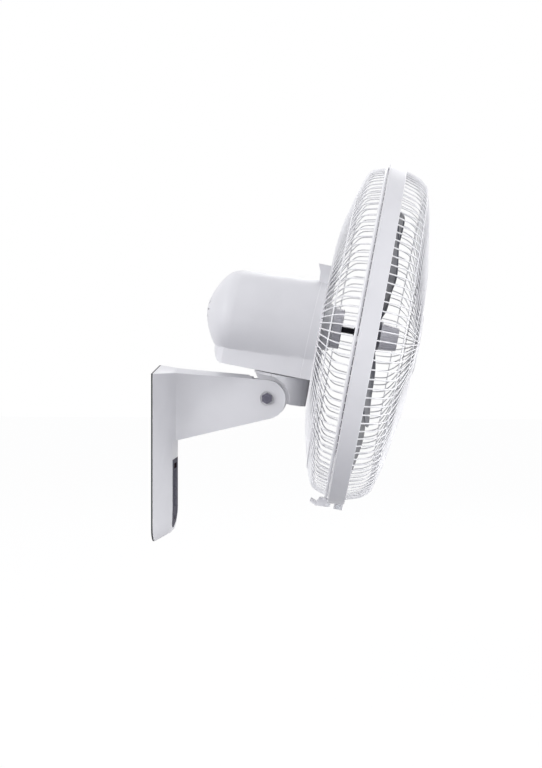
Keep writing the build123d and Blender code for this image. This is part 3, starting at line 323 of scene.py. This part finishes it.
def round_wire(bm, path, radius, sides=6):
    """A round wire along a path in the XZ plane: a circle carried from corner to corner."""
    points = [Vector((u, 0.0, r)) for u, r in path]
    circle = bmesh.ops.create_circle(bm, segments=sides, radius=radius, cap_ends=True)["verts"]
    heading = (points[1] - points[0]).normalized()
    turn = heading.to_track_quat("Z", "Y").to_matrix()
    bmesh.ops.rotate(bm, verts=circle, cent=ORIGIN, matrix=turn)
    bmesh.ops.translate(bm, verts=circle, vec=points[0])
    ring = edges_at(circle)
    for i, (here, there) in enumerate(zip(points, points[1:])):
        grown = bmesh.ops.extrude_edge_only(bm, edges=ring)["geom"]
        verts = [g for g in grown if isinstance(g, bmesh.types.BMVert)]
        ring = [g for g in grown if isinstance(g, bmesh.types.BMEdge) and all(v in verts for v in g.verts)]
        bmesh.ops.translate(bm, verts=verts, vec=there - here)
        heading = (there - here).normalized()
        if i + 2 < len(points):
            following = (points[i + 2] - there).normalized()
            bend = heading.rotation_difference(following).to_matrix()
            bmesh.ops.rotate(bm, verts=verts, cent=there, matrix=bend)
    bmesh.ops.contextual_create(bm, geom=ring)


def hoop(bm, u, radius, thick, steps=120, sides=8):
    """A round hoop about the fan's axis."""
    circle = bmesh.ops.create_circle(bm, segments=sides, radius=thick)["verts"]
    upright = Matrix.Rotation(math.radians(90), 3, "X")
    bmesh.ops.rotate(bm, verts=circle, cent=ORIGIN, matrix=upright)
    bmesh.ops.translate(bm, verts=circle, vec=(u, 0, radius))
    bmesh.ops.spin(bm, geom=circle + edges_at(circle), cent=ORIGIN, axis=FAN_AXIS, angle=math.tau,
                   steps=steps, use_merge=True)


def spun(bm, outline, steps=96):
    """A closed (along, radius) outline turned right round the fan's axis."""
    verts = [bm.verts.new((u, 0.0, r)) for u, r in outline]
    edges = [bm.edges.new(pair) for pair in zip(verts, verts[1:] + verts[:1])]
    bmesh.ops.spin(bm, geom=verts + edges, cent=ORIGIN, axis=FAN_AXIS, angle=math.tau,
                   steps=steps, use_merge=True)


def cage_half(name, path, hoops, plate, node):
    """One half of the cage: bent wires set round the axis, with the hoops and plate they are welded to."""
    bm = bmesh.new()
    round_wire(bm, eased_corners(path, WIRE_BEND), WIRE_R)
    wire = list(bm.verts) + list(bm.edges) + list(bm.faces)
    step = math.tau / WIRES
    half_step = Matrix.Rotation(step / 2, 3, "X")
    bmesh.ops.rotate(bm, verts=bm.verts, cent=ORIGIN, matrix=half_step)
    bmesh.ops.spin(bm, geom=wire, cent=ORIGIN, axis=FAN_AXIS, angle=step * (WIRES - 1),
                   steps=WIRES - 1, use_duplicate=True)
    for u, radius, thick in hoops:
        hoop(bm, u, radius, thick)
    spun(bm, plate)
    bmesh.ops.remove_doubles(bm, verts=bm.verts, dist=CAGE_MERGE_MM)
    bmesh.ops.recalc_face_normals(bm, faces=bm.faces)
    order_faces(bm)
    bm.transform(HEAD @ Matrix.Diagonal((MM, MM, MM, 1.0)))
    mesh = bpy.data.meshes.new(name)
    bm.to_mesh(mesh)
    bm.free()
    dressed(name, mesh, CAGE_SHARP, "head", "guard_white", node)


def rounded(node, body, slot_name, width_mm):
    """A merged copy of a CAD node whose outer corners are rounded off, with flats that stay flat."""
    mesh = nodes[node].data.copy()
    mesh.name = node + "_finished"
    mesh.materials.clear()
    bm = bmesh.new()
    bm.from_mesh(mesh)
    bmesh.ops.remove_doubles(bm, verts=bm.verts, dist=CAD_MERGE_MM * MM)
    bmesh.ops.dissolve_limit(bm, angle_limit=math.radians(CAD_FLAT), verts=bm.verts, edges=bm.edges)
    limit = math.radians(CAD_SHARP)
    smallest = (2 * width_mm * MM) ** 2
    corners = [e for e in bm.edges if e.is_manifold and e.calc_face_angle_signed() > limit
               and min(f.calc_area() for f in e.link_faces) > smallest]
    bmesh.ops.bevel(bm, geom=corners, offset=width_mm * MM, offset_type="OFFSET", segments=2,
                    profile=0.5, affect="EDGES", material=-1, clamp_overlap=True)
    bm.to_mesh(mesh)
    bm.free()
    piece = dressed(node + "_finished", mesh, CAD_SHARP, body, slot_name, node)
    weighted = piece.modifiers.new("flat_faces", "WEIGHTED_NORMAL")
    weighted.keep_sharp = True


# ---------------------------------------------------------------- pieces
cage_half("rear_cage", REAR_PATH, REAR_HOOPS, REAR_PLATE, "rear_guard")
cage_half("front_cage", FRONT_PATH, FRONT_HOOPS, FRONT_RING, "front_guard")

rounded("bracket_body", "bracket", "abs_white", 0.9)
rounded("neck_block", "neck", "abs_white", 0.8)
rounded("motor_housing", "head", "abs_white", 0.6)
rounded("front_cover", "head", "abs_white", 0.7)
rounded("guard_ring", "head", "abs_white", 0.4)
rounded("guard_badge", "head", "abs_white", 0.3)
rounded("guard_clip", "guard_clip", "abs_white", 0.4)
rounded("guard_nut", "head", "nut_grey", 0.4)
rounded("fan_blade", "rotor", "blade_dark", 0.4)
rounded("spinner", "rotor", "spinner_grey", 0.5)
rounded("control_panel", "bracket", "panel_dark", 0.3)
for i in range(1, 5):
    rounded(f"control_button_{i}", f"control_button_{i}", "button_grey", 0.4)

# ---------------------------------------------------------------- CAD nodes that stay get their finish
slots = {p["node"]: p["material_slot"] for p in frame["record"]["subparts"]}
for node_name, node in nodes.items():
    material = nut_steel if node_name in ("pivot_nut", "pivot_bolt") else FINISH[slots[node_name]]
    for place_in_list in node.material_slots:
        place_in_list.material = material

# ---------------------------------------------------------------- floor, light and camera
FLOOR_DROP = 0.25            # the floor lies this far under the fan
FLOOR_HALF = 6.0
FLOOR_MIDDLE_X = 0.3
SHADOW_SHARE = 0.08          # how much of the paper's white gives way to the fan's shadow

LENS_MM = 56.69
SENSOR_MM = 36.0
SHIFT_UP = -0.0625
NEAREST = 0.05
EYE = (0.2668, -1.604, 0.150)
YAW = 4.2                    # degrees, turned a little towards the wall


def seen_rays(tree):
    """1 for what the camera sees straight, in a reflection or through glass; 0 for light that falls."""
    path = add(tree, "LightPath")
    mirrored = add(tree, "Math", {"operation": "MAXIMUM"},
                   i0=(path, "Is Camera Ray"), i1=(path, "Is Glossy Ray"))
    return add(tree, "Math", {"operation": "MAXIMUM"},
               i0=(mirrored, "Value"), i1=(path, "Is Transmission Ray"))


bm = bmesh.new()
bmesh.ops.create_grid(bm, x_segments=1, y_segments=1, size=FLOOR_HALF)
bmesh.ops.translate(bm, verts=bm.verts, vec=(FLOOR_MIDDLE_X, 0.0, cad_box[0].z - FLOOR_DROP))
floor_mesh = bpy.data.meshes.new("floor")
bm.to_mesh(floor_mesh)
bm.free()
floor = bpy.data.objects.new("floor", floor_mesh)
scene.collection.objects.link(floor)
# Seamless white paper: it glows white to the eye, keeps a faint shadow and throws little light back up.
paper = bpy.data.materials.new("seamless_white_paper")
paper.use_nodes = True
tree = paper.node_tree
tree.nodes.clear()
bounce = add(tree, "BsdfDiffuse", Color=linear("#8c8c92"))
white = add(tree, "Emission", Color=linear("#ffffff"), Strength=1.0)
shaded = add(tree, "BsdfDiffuse", Color=linear("#ffffff"))
sheet = add(tree, "MixShader", i0=SHADOW_SHARE, i1=(white, "Emission"), i2=(shaded, "BSDF"))
mixed = add(tree, "MixShader", i0=(seen_rays(tree), "Value"), i1=(bounce, "BSDF"), i2=(sheet, "Shader"))
add(tree, "OutputMaterial", Surface=(mixed, "Shader"))
floor.data.materials.append(paper)

# Soft studio room: even above, dimmer below, plain white where the camera looks past the fan.
world = bpy.data.worlds.new("soft_studio")
scene.world = world
world.use_nodes = True
tree = world.node_tree
tree.nodes.clear()
direction = add(tree, "TexCoord")
axes = add(tree, "SeparateXYZ", Vector=(direction, "Generated"))
height = add(tree, "MapRange", i0=(axes, "Z"), i1=-1.0, i2=1.0, i3=0.0, i4=1.0)
tone = ramp(tree, (height, "Result"), [(0.0, "#85858a"), (0.5, "#e8e8ec")])
room = add(tree, "Background", Color=(tone, "Color"), Strength=1.0)
backdrop = add(tree, "Background", Color=linear("#ffffff"), Strength=1.0)
blend = add(tree, "MixShader", i0=(seen_rays(tree), "Value"),
            i1=(room, "Background"), i2=(backdrop, "Background"))
add(tree, "OutputWorld", Surface=(blend, "Shader"))


def lamp(name, spot, target, size, watts, spread=180.0):
    """A square soft box aimed at a point; spread is how wide its grid lets the light fan out, in degrees."""
    light = bpy.data.lights.new(name, "AREA")
    light.shape = "SQUARE"
    light.size = size
    light.energy = watts
    light.spread = math.radians(spread)
    thing = bpy.data.objects.new(name, light)
    scene.collection.objects.link(thing)
    thing.location = spot
    thing.rotation_euler = (Vector(target) - Vector(spot)).to_track_quat("-Z", "Y").to_euler()


lamp("bracket_box", spot=(1.2, -0.7, 0.0), target=(0.02, -0.04, 0.0), size=0.5, watts=1.1, spread=70.0)
lamp("front_box", spot=(1.5, -1.0, 0.5), target=(0.1, -0.1, 0.1), size=1.0, watts=1.0)
lamp("arm_box", spot=(0.0, -1.3, -0.2), target=(0.06, -0.04, 0.01), size=0.4, watts=0.045, spread=20.0)
lamp("rear_box", spot=(-1.1, -1.0, 0.45), target=(0.15, 0.0, 0.15), size=1.0, watts=9.5)
lamp("back_box", spot=(0.6, 1.5, 1.2), target=(0.2, 0.0, 0.15), size=1.2, watts=8.0)

camera_data = bpy.data.cameras.new("camera")
camera_data.lens = LENS_MM
camera_data.sensor_width = SENSOR_MM
camera_data.shift_y = SHIFT_UP
camera_data.clip_start = NEAREST
camera = bpy.data.objects.new("camera", camera_data)
scene.collection.objects.link(camera)
camera.location = EYE
camera.rotation_euler = (math.radians(90), 0.0, math.radians(YAW))
scene.camera = camera
scene.view_settings.view_transform = "Standard"
